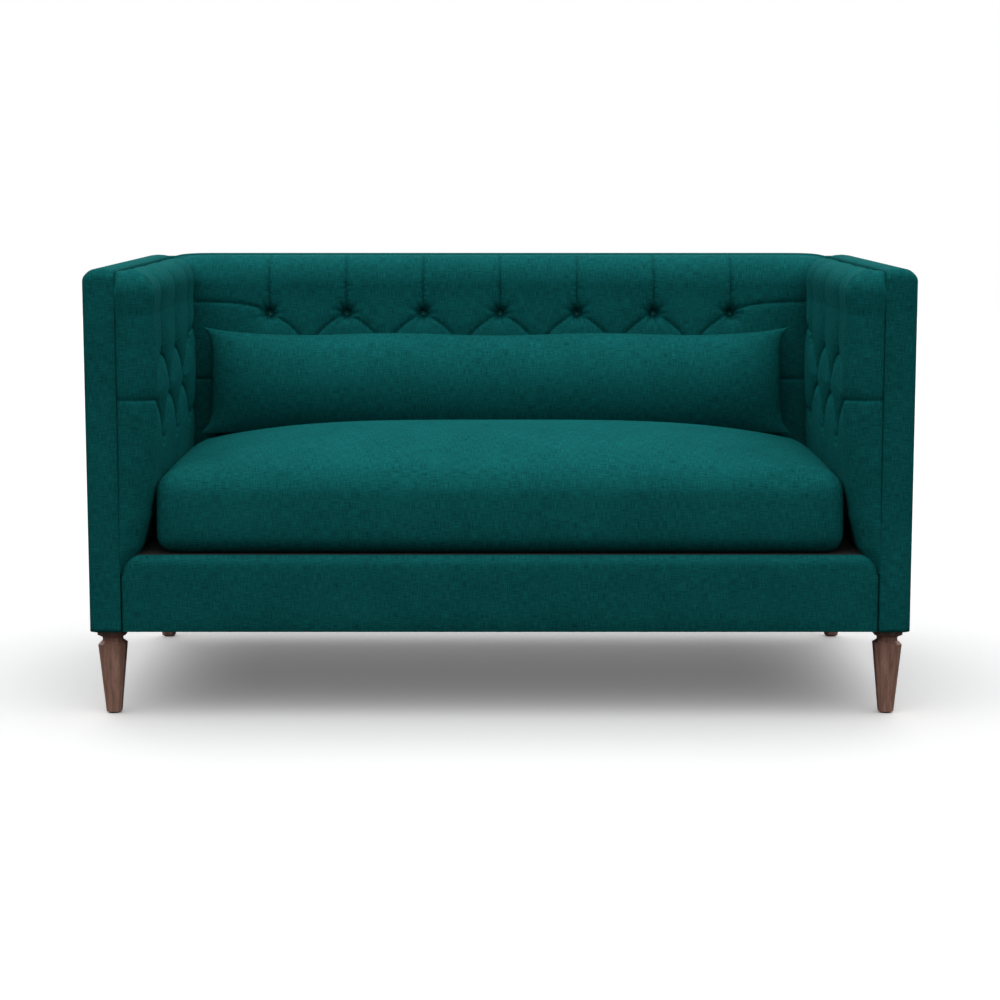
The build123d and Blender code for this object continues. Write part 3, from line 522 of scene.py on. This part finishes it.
top_fold, foot_fold = (0.0185, 0.011, 0.028, 0.45), (0.0150, 0.008, 0.024, 0.5)
scale_fold, back_fold = (0.0155, 0.0155, 0.026, 0.5), (0.012, 0.008, 0.02, 0.5)
front_fold = (0.0110, 0.0050, 0.014, 0.6)
front_rise, back_rise = 0.003, 0.014
pleats = [(straight_pleat(x, y, y + pleat_lead, 0.46, 0.535), *top_fold) for x, y in arm_rows[0]]
pleats += [(straight_pleat(x, y, y - pleat_lead, 0.05, 0.0), *foot_fold) for x, y in arm_rows[2]]
pleats += scale_pleats(arm_rows, arm_pitch, scale_fold)
pleats.append((edge_pleat(arm_rows[1][0], front_edge, front_rise), *front_fold))
pleats += [(edge_pleat(row[2], -y_face, back_rise), *back_fold) for row in (arm_rows[0], arm_rows[2])]
seam_groove, seam_slack = 0.0008, 0.001
sunk = drawn_in(across, up_grid, pleats, sum(arm_rows, []))
sunk += valley[:, None] * np.exp((core_y - back_end[:, None]) / valley_spread)
sunk += rolled(arm_length - up_grid, seam_groove) + rolled(front_edge - across, seam_groove)


def arch(value, start, end):
    """A smooth rise and fall between two values."""
    return np.sin(math.pi * np.clip((value - start) / (end - start), 0, 1))


face_bulge, top_bulge, front_bulge, bulge_fade = 0.010, 0.005, 0.003, 0.06
sunk -= face_bulge * arch(up_grid, 0.09, 0.54) ** 0.9 * np.clip((front_edge - across) / bulge_fade, 0, 1)
sunk -= top_bulge * arch(up_grid, 0.44, arm_length)
sunk -= front_bulge * arch(across, 0.36, front_edge)
arm_points = np.stack([arm_x, arm_y, arm_z], 2) - facing * sunk[..., None]
arm_points[..., 0] = np.minimum(arm_points[..., 0], x_seam + seam_slack)
turn_back, hub = (0.002, 0.004, 0), (x_seam, -0.05, 0.56)
for side_name, side in (("left", -1), ("right", 1)):
    faces = grid_faces(rows, columns)
    points, faces = close_behind(arm_points.reshape(-1, 3), faces, rows, columns, turn_back, hub)
    points = points * (side, 1, 1)
    if side < 0:
        faces = [face[::-1] for face in faces]
    inside_arm = soft_piece(f"tufted_inside_arm_{side_name}", points, faces,
                            pad_weave(across, up_grid, len(points)))
    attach(inside_arm, "sofa_body")
    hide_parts(f"inside_arm_cover_{side_name}", f"arm_foam_{side_name}")

# Covered buttons
# Domed metal shells of about 19 mm covered in the teal cloth, one at the bottom of every dimple.
# A twine pulls each one through the padding and is tied off behind it.
button_outline = [
    (0.0, 0.0050), (0.0028, 0.0048), (0.0054, 0.0042), (0.0076, 0.0030), (0.0090, 0.0015), (0.0095, 0.0002),
    (0.0090, -0.0010), (0.0060, -0.0016), (0.0, -0.0016),
]
shell = bmesh.new()
ring = [shell.verts.new((r, 0, z)) for r, z in button_outline]
outline = [shell.edges.new(pair) for pair in zip(ring, ring[1:])]
bmesh.ops.spin(shell, geom=ring + outline, cent=(0, 0, 0), axis=(0, 0, 1), angle=2 * math.pi, steps=24)
bmesh.ops.remove_doubles(shell, verts=shell.verts, dist=1e-5)
bmesh.ops.recalc_face_normals(shell, faces=shell.faces)
button_mesh = bpy.data.meshes.new("covered_button")
shell.to_mesh(button_mesh)
shell.free()
button_mesh.shade_smooth()
button_shape = bpy.data.objects.new("covered_button", button_mesh)

sewn = bpy.data.node_groups.new("buttons_on_points", "GeometryNodeTree")
for label, kind in (("Points", "Geometry"), ("Button", "Object"), ("Size", "Float"), ("Cloth", "Material")):
    sewn.interface.new_socket(label, in_out="INPUT", socket_type="NodeSocket" + kind)
sewn.interface.new_socket("Buttons", in_out="OUTPUT", socket_type="NodeSocketGeometry")
given = put(sewn, "NodeGroupInput").outputs
shape = put(sewn, "GeometryNodeObjectInfo", {"Object": given["Button"]}).outputs["Geometry"]
facing_out = put(sewn, "GeometryNodeInputNamedAttribute", {"Name": "facing"},
                 data_type="FLOAT_VECTOR").outputs[0]
turned = put(sewn, "FunctionNodeAlignRotationToVector", {"Vector": facing_out}, axis="Z").outputs[0]
setting = {"Points": given["Points"], "Instance": shape, "Rotation": turned, "Scale": given["Size"]}
set_out = put(sewn, "GeometryNodeInstanceOnPoints", setting).outputs[0]
solid = put(sewn, "GeometryNodeRealizeInstances", {"Geometry": set_out}).outputs[0]
covered = put(sewn, "GeometryNodeSetMaterial", {"Geometry": solid, "Material": given["Cloth"]}).outputs[0]
put(sewn, "NodeGroupOutput", {"Buttons": covered})


def sew_buttons(name, places, facing, node):
    """Set a button at each place, looking one way, and keep the result as a plain mesh."""
    mesh = bpy.data.meshes.new(name)
    mesh.from_pydata(places, [], [])
    directions = mesh.attributes.new("facing", "FLOAT_VECTOR", "POINT")
    directions.data.foreach_set("vector", list(facing) * len(places))
    holder = bpy.data.objects.new(name, mesh)
    bpy.context.scene.collection.objects.link(holder)
    sewing = holder.modifiers.new("sewing", "NODES")
    sewing.node_group = sewn
    values = {"Button": button_shape, "Size": 1.0, "Cloth": teal}
    for item in sewn.interface.items_tree:
        if item.name in values:
            sewing[item.identifier] = values[item.name]
    bpy.context.view_layer.update()
    plain = bpy.data.meshes.new_from_object(holder.evaluated_get(bpy.context.evaluated_depsgraph_get()))
    holder.modifiers.clear()
    plain.shade_smooth()
    lay_weave(plain)
    holder.data = plain
    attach(holder, "sofa_body")
    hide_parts(node)


button_floor = 0.0320
back_out = (0.0, -math.cos(rake), math.sin(rake))
places = [(x, y_face + y * math.sin(rake) - button_floor * back_out[1],
           z_deck + y * math.cos(rake) - button_floor * back_out[2]) for x, y in sum(back_rows, [])]
sew_buttons("back_button_covers", places, back_out, "back_buttons")
for side_name, side in (("left", -1), ("right", 1)):
    places = [(side * (x_pad + button_floor), -x, z_deck + y) for x, y in sum(arm_rows, [])]
    sew_buttons(f"arm_button_covers_{side_name}", places, (-side, 0.0, 0.0), f"arm_buttons_{side_name}")


# Outer arm covers
# Each arm is wrapped over its front, top and outside in one piece of cloth over wadding, stapled under the
# frame and at the back, and sewn to the tufted pad along a seam with a shallow groove.
def stops(low, high, radius, step):
    """Grid lines between two values, close together at both rounded ends."""
    ends = radius * (1 - np.cos(np.linspace(0, math.pi / 2, 8)))
    middle = np.linspace(low + radius, high - radius, max(2, int((high - low - 2 * radius) / step) + 1))
    return np.unique(np.round(np.concatenate([low + ends, middle, high - ends]), 6))


def box_shell(low, high, radius, step):
    """Points and quads of a closed box grid, before its edges are rounded."""
    lines = [stops(low[i], high[i], radius, step) for i in range(3)]
    points, faces, count = [], [], 0
    for axis in range(3):
        first, second = [i for i in range(3) if i != axis]
        a, b = np.meshgrid(lines[first], lines[second], indexing="ij")
        for value in (low[axis], high[axis]):
            sheet = np.empty((a.size, 3))
            sheet[:, axis] = value
            sheet[:, first] = a.ravel()
            sheet[:, second] = b.ravel()
            quads = np.array(grid_faces(a.shape[0], a.shape[1])) + count
            points.append(sheet)
            faces += quads.tolist()
            count += a.size
    return np.concatenate(points), faces


def round_box(points, low, high, radius):
    """Pull the edges of a box grid in to a radius."""
    core = np.clip(points, np.array(low) + radius, np.array(high) - radius)
    way = points - core
    return core + radius * way / np.maximum(np.linalg.norm(way, axis=1), 1e-9)[:, None]


x_side, y_front, y_tack, z_hem, z_top = 0.750, -0.420, 0.4138, 0.160, 0.818
cover_round, grid_step = 0.018, 0.012
side_puff, side_fade = 0.003, 0.03
strip_puff, strip_middle, strip_half, strip_end, strip_fade = 0.0055, 0.718, 0.028, 0.40, 0.07
on_top, near_top, near_front = 0.79, 0.7, -0.38
past_seam, past_hem, y_past_tack = 0.03, 0.035, 0.450
for side_name, side in (("left", -1), ("right", 1)):
    low, high = (x_seam - past_seam, y_front, z_hem - past_hem), (x_side, y_past_tack, z_top)
    points, faces = box_shell(low, high, cover_round, grid_step)
    points = round_box(points, low, high, cover_round)
    fall = rolled(np.maximum(points[:, 0] - x_seam, 0), seam_groove)
    points[:, 0] += side_puff * np.clip(1 - (x_side - points[:, 0]) / side_fade, 0, 1)
    strip_share = np.clip(1 - ((points[:, 0] - strip_middle) / strip_half) ** 2, 0, 1)
    strip_share *= np.clip((strip_end - points[:, 1]) / strip_fade, 0, 1)
    points[:, 2] += np.where(points[:, 2] > on_top, strip_puff * strip_share, 0)
    points[:, 2] -= np.where(points[:, 2] > near_top, fall, 0)
    points[:, 1] += np.where(points[:, 1] < near_front, fall, 0)
    points = np.maximum(points, (x_seam, -1, z_hem))
    points[:, 1] = np.minimum(points[:, 1], y_tack)
    outer_arm = soft_piece(f"outer_arm_wrap_{side_name}", points * (side, 1, 1), faces, merge=1e-5)
    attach(outer_arm, "sofa_body")
    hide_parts(f"outer_arm_cover_{side_name}")

# Top band and outside back
# A plain band covers the back's top rail, and one flat panel with rounded upper corners closes the back.
# Both are blind-tacked over card strip, so no stitches show.
band_half, band_low, band_cut, band_round = 0.6935, 0.806, 0.812, 0.004
band_end, band_fade = 0.424, 0.03
low, high = (-band_half, y_seam, band_low), (band_half, y_tack, z_top)
points, faces = box_shell(low, high, band_round, grid_step)
points = round_box(points, low, high, band_round)
puffed = top_puff * (1 - (np.abs(points[:, 0]) / band_half) ** puff_end)
puffed *= np.clip((band_end - points[:, 1]) / band_fade, 0, 1) ** 0.6
points[:, 2] += np.where(points[:, 2] > band_cut, puffed, 0)
top_band = soft_piece("back_top_band_cover", np.maximum(points, (-1, -1, band_cut)), faces, merge=1e-5)
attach(top_band, "sofa_body")
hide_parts("back_top_band")


def face_panel(name, half_width, corner, low, high, front, behind, edge, columns, rows, puff):
    """A padded panel across the sofa: corner is the radius of its upper corners, edge of its outer rim."""
    side_sharpness = 8
    up = stops(low, high, edge, (high - low) / rows)
    over = np.clip(up - (high - corner), 0, corner)
    half = half_width - corner + np.sqrt(corner**2 - over**2)
    along = stops(-1, 1, 2 * edge / half_width, 2 / columns)
    x = along[None, :] * half[:, None]
    z = np.repeat(up[:, None], len(along), 1)
    gap = np.minimum(side_sharpness * (half[:, None] - np.abs(x)), high - z)
    out_x, out_z = np.abs(x) - (half_width - corner), z - (high - corner)
    in_corner = (out_x > 0) & (out_z > 0)
    gap = np.where(in_corner, corner - np.hypot(out_x, out_z), gap)
    inward = 1 if behind > front else -1
    height = np.clip(1 - ((z - low) / (high - low) * 2 - 1) ** 4, 0, 1)
    swell = puff * (1 - np.abs(along)[None, :] ** 6) * height
    depth = front + inward * (rolled(np.maximum(gap, 0), edge) - swell)
    face_side = np.stack([x, depth, z], 2).reshape(-1, 3)
    flat_side = np.stack([x, np.full_like(x, behind), z], 2).reshape(-1, 3)
    count = len(face_side)
    shape = (len(up), len(along))
    faces = grid_faces(*shape) + (np.array(grid_faces(*shape, turned=True)) + count).tolist()
    rim = grid_rim(*shape)
    after = np.roll(rim, -1)
    faces += np.stack([rim, after, after + count, rim + count], 1).tolist()
    made = soft_piece(name, np.concatenate([face_side, flat_side]), faces, merge=1e-5)
    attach(made, "sofa_body")
    return made


outside_back = face_panel(
    "outside_back_panel", half_width=0.7495, corner=cover_round, low=z_hem, high=z_top,
    front=0.4205, behind=0.4139, edge=0.005, columns=120, rows=60, puff=0.0015,
)
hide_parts("outside_back_cover")

# Front border
# A padded panel over the front rail, under the seat cushion, with rounded upper corners.
# Its cloth is pulled round a thin foam and stapled below the rail.
front_border = face_panel(
    "front_border_panel", half_width=0.6938, corner=0.037, low=z_hem, high=0.3008,
    front=-0.4155, behind=-0.3985, edge=0.016, columns=180, rows=24, puff=0.0050,
)
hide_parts("front_border_cover", "front_border_foam")


# Seat cushion
# One loose bench cushion: a foam core in a fibre wrap, full in the middle and soft at the front, in a cover
# that zips open along the back. It rests on the deck between the arms.
def plump(made, push, reach, free, held):
    """Fill a cover by cloth pressure: reach caps the swelling, free scales it, and held points stay put."""
    last_step = 20
    mesh = made.data
    made.vertex_groups.new(name="held").add(np.nonzero(held)[0].tolist(), 1.0, "REPLACE")
    start = np.empty(len(mesh.vertices) * 3)
    mesh.vertices.foreach_get("co", start)
    filling = made.modifiers.new("filling", "CLOTH")
    filling.settings.quality = 4
    filling.settings.vertex_group_mass = "held"
    filling.settings.use_pressure = True
    filling.settings.uniform_pressure_force = push
    filling.settings.effector_weights.gravity = 0
    filling.point_cache.frame_start = 1
    filling.point_cache.frame_end = last_step
    for step in range(1, last_step + 1):
        bpy.context.scene.frame_set(step)
    swollen = np.empty(len(mesh.vertices) * 3)
    made.evaluated_get(bpy.context.evaluated_depsgraph_get()).data.vertices.foreach_get("co", swollen)
    made.modifiers.clear()
    made.vertex_groups.clear()
    bpy.context.scene.frame_set(1)
    move = (swollen - start).reshape(-1, 3)
    size = np.linalg.norm(move, axis=1)[:, None]
    move *= np.minimum(1, reach / np.maximum(size, 1e-9)) * np.array(free)
    mesh.vertices.foreach_set("co", start + move.ravel())
    finer = made.modifiers.new("finer", "SUBSURF")
    finer.levels = finer.render_levels = 1
    bpy.context.view_layer.update()
    made.data = bpy.data.meshes.new_from_object(made.evaluated_get(bpy.context.evaluated_depsgraph_get()))
    made.modifiers.clear()


seat_low, seat_high = (-0.632, -0.400, 0.3003), (0.632, 0.212, 0.4450)
seat_round, seat_band, fine_grid = 0.034, 0.145, 0.03
crown_rise, crown_reach, nose_bulge = 0.061, 0.640, 0.012
fill_pressure, most_swelling, resting, low_fade, rear_fade = 4.0, 0.006, 0.301, 0.08, 0.05
points, faces = box_shell(seat_low, seat_high, fine_grid, grid_step)
points = round_box(points, seat_low, seat_high, seat_round)
height = np.clip((points[:, 2] - seat_low[2]) / seat_band, 0, 1)
middle_y, half_y = (seat_low[1] + seat_high[1]) / 2, (seat_high[1] - seat_low[1]) / 2
width_share = np.clip(np.abs(points[:, 0]) / crown_reach, 0, 1)
depth_share = np.clip(np.abs(points[:, 1] - middle_y) / half_y, 0, 1)
crown = crown_rise * (1 - width_share**3.6) * (1 - depth_share**2.4)
points[:, 2] += crown * height**1.5
front_share = np.clip((middle_y - points[:, 1]) / half_y, 0, 1) ** 6
points[:, 1] -= nose_bulge * front_share * np.sin(math.pi * np.clip(0.08 + 0.84 * height, 0, 1))
seat = soft_piece("seat_bench_cushion", points, faces, merge=1e-5)
places = np.array([corner.co for corner in seat.data.vertices])
ease = np.clip((places[:, 2] - resting) / low_fade, 0, 1)
ease *= np.clip((seat_high[1] - places[:, 1]) / rear_fade, 0, 1)
plump(seat, fill_pressure, most_swelling, ease[:, None] * (0.15, 1, 1), places[:, 2] < resting)
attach(seat, "seat_cushion")
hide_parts("seat_cushion_cover", "seat_cushion_wrap", "seat_cushion_core")
tape_light, tape_dark = (0.012, 0.13, 0.13, 1), (0.005, 0.07, 0.07, 1)
zip_tape = cloth("zip_tape", tape_light, tape_dark, 900.0, 0.8, 0.0002, "Object", Roughness=0.8)
finish_nodes(zip_tape, "seat_cushion_zip")
slider_grey = (0.36, 0.35, 0.33)
zip_metal = speckled("zip_slider_metal", slider_grey, 0.15, 900.0, 0.0001, Roughness=0.32, Metallic=1.0)
finish_nodes(zip_metal, "seat_zip_slider")

# Lumbar cushion
# One long knife-edge cushion, its two cloth faces sewn together all round with small pointed corners.
# It stands on the seat and leans against the tufted back.
lean = math.radians(12.0)
lumbar_foot = np.array((0, 0.17635, 0.46456))
lumbar_up = np.array((0, math.sin(lean), math.cos(lean)))
lumbar_out = np.array((0, -math.cos(lean), math.sin(lean)))
lumbar_shift, lumbar_half, ear_length = -0.008, 0.588, 0.021
lumbar_height, ear_rise, corner_drop, top_ripple = 0.203, 0.016, 0.002, 0.0025
front_fullness, back_fullness, lumbar_seam = 0.068, -0.047, 0.0005
rows, columns = 66, 240
v = np.sin(np.linspace(-math.pi / 2, math.pi / 2, rows))[:, None]
eased = np.sin(np.linspace(-math.pi / 2, math.pi / 2, columns))[None, :]
u = eased * 0.35 + np.linspace(-1, 1, columns)[None, :] * 0.65
x = lumbar_shift + u * (lumbar_half + ear_length * np.abs(v) ** 6)
low = -corner_drop * u**4
high = lumbar_height + ear_rise * u**10 - top_ripple * np.cos(u * 9.0) * (1 - u**4)
rise = low + (high - low) * (v + 1) / 2
swell = (1 - np.abs(u) ** 5.5) ** 0.55
fullness = np.where(v > 0, (1 - v**2) ** 0.62, (1 - v**2) ** 0.85)
sheets = []
for bulge in (front_fullness, back_fullness):
    sheets.append(
        lumbar_foot + np.stack([x, 0 * x, 0 * x], 2) + rise[..., None] * lumbar_up
        + (bulge * swell * fullness)[..., None] * lumbar_out
    )
points = np.concatenate([sheet.reshape(-1, 3) for sheet in sheets])
back_quads = np.array(grid_faces(rows, columns, turned=True)) + rows * columns
faces = grid_faces(rows, columns) + back_quads.tolist()
lumbar = soft_piece("lumbar_long_cushion", points, faces, merge=1e-5)
out = np.array([(np.array(corner.co) - lumbar_foot) @ lumbar_out for corner in lumbar.data.vertices])
plump(lumbar, fill_pressure, most_swelling, (1, 1, 1), np.abs(out) < lumbar_seam)
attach(lumbar, "lumbar_cushion")
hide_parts("lumbar_cover", "lumbar_filling")

# Studio
# A plain white floor under soft light from above and from behind, with a white surround.
# The floor and the surround show white to the camera and throw little light back on the sofa.
scene = bpy.context.scene
floor_bounce, floor_glow, surround_light = 0.03, 0.15, 0.06
floor_mesh = bpy.data.meshes.new("studio_floor")
floor_side, floor_front, floor_back, floor_level = 9, -7, 12, -0.0004
floor_corners = [
    (-floor_side, floor_front, floor_level), (floor_side, floor_front, floor_level),
    (floor_side, floor_back, floor_level), (-floor_side, floor_back, floor_level),
]
floor_mesh.from_pydata(floor_corners, [], [(0, 1, 2, 3)])
floor = bpy.data.objects.new("studio_floor", floor_mesh)
scene.collection.objects.link(floor)
floor_paint = bpy.data.materials.new("white_floor")
floor_paint.use_nodes = True
tree = floor_paint.node_tree
tree.nodes.clear()
seen = put(tree, "ShaderNodeLightPath").outputs["Is Camera Ray"]
paint = ranged(tree, seen, to_min=floor_bounce, to_max=1.0)
matt = put(tree, "ShaderNodeBsdfDiffuse", {"Color": paint}).outputs[0]
lit = put(tree, "ShaderNodeEmission", {"Strength": work_out(tree, "MULTIPLY", seen, floor_glow)}).outputs[0]
both = put(tree, "ShaderNodeAddShader", {0: matt, 1: lit}).outputs[0]
put(tree, "ShaderNodeOutputMaterial", {"Surface": both})
floor_mesh.materials.append(floor_paint)

world = bpy.data.worlds.new("white_surround")
world.use_nodes = True
scene.world = world
tree = world.node_tree
tree.nodes.clear()
path = put(tree, "ShaderNodeLightPath").outputs
shown = work_out(tree, "MAXIMUM", path["Is Camera Ray"], path["Is Glossy Ray"])
shown = work_out(tree, "MAXIMUM", shown, path["Is Transmission Ray"])
strength = ranged(tree, shown, to_min=surround_light, to_max=1.0)
surround = put(tree, "ShaderNodeBackground", {"Color": (1, 1, 1, 1), "Strength": strength}).outputs[0]
put(tree, "ShaderNodeOutputWorld", {"Surface": surround})


def broad_light(name, tilt, power, spread):
    """Even light from a wide patch of the surround, tilted towards the front, or the back if negative."""
    light = bpy.data.lights.new(name, "SUN")
    light.energy = power
    light.angle = math.radians(spread)
    lamp = bpy.data.objects.new(name, light)
    scene.collection.objects.link(lamp)
    away, angle = 4, math.radians(tilt)
    lamp.location = (0, -away * math.sin(angle), away * math.cos(angle))
    lamp.rotation_euler = (angle, 0, 0)


broad_light("overhead_light", tilt=12, power=2.50, spread=118)
broad_light("rear_light", tilt=-55, power=0.80, spread=70)

lens = bpy.data.cameras.new("camera")
lens.sensor_width = 36
lens.lens = 85.8
camera = bpy.data.objects.new("camera", lens)
scene.collection.objects.link(camera)
camera.location = (0, -4.71, 0.994)
camera.rotation_euler = (math.radians(82.18), 0, 0)
scene.camera = camera
scene.view_settings.view_transform = "Standard"

bpy.context.view_layer.update()
